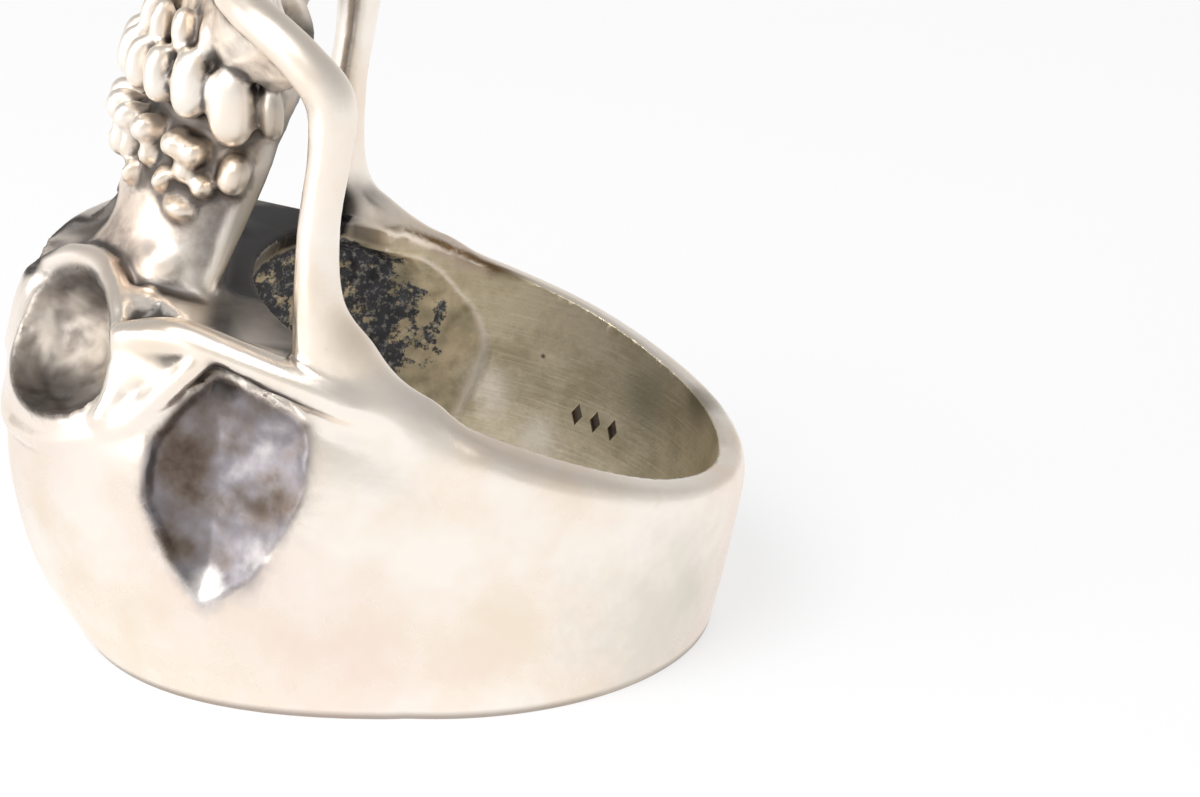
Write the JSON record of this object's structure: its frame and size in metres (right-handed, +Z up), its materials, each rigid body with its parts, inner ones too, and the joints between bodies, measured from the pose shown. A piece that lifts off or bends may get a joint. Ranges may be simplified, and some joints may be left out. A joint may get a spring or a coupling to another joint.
{
  "type": "skull ring",
  "caption": "Cast silver ring shaped as an anatomical skull with open eye sockets, bare teeth and a lower jaw that runs into the band, lying on its side.",
  "frame": {"origin": "where the finger hole's axis crosses the surface that the ring lies on", "axes": "+Z up from that surface, -Y towards the face, +X to the wearer's side; the finger hole leans 13 degrees from +Z towards +Y"},
  "size_m": [0.0232, 0.0314, 0.0311],
  "materials": {
    "silver": "polished sterling silver, oxidised dark in the hollows"
  },
  "bodies": {
    "root": {"skull_ring": "silver"}
  },
  "joints": []
}
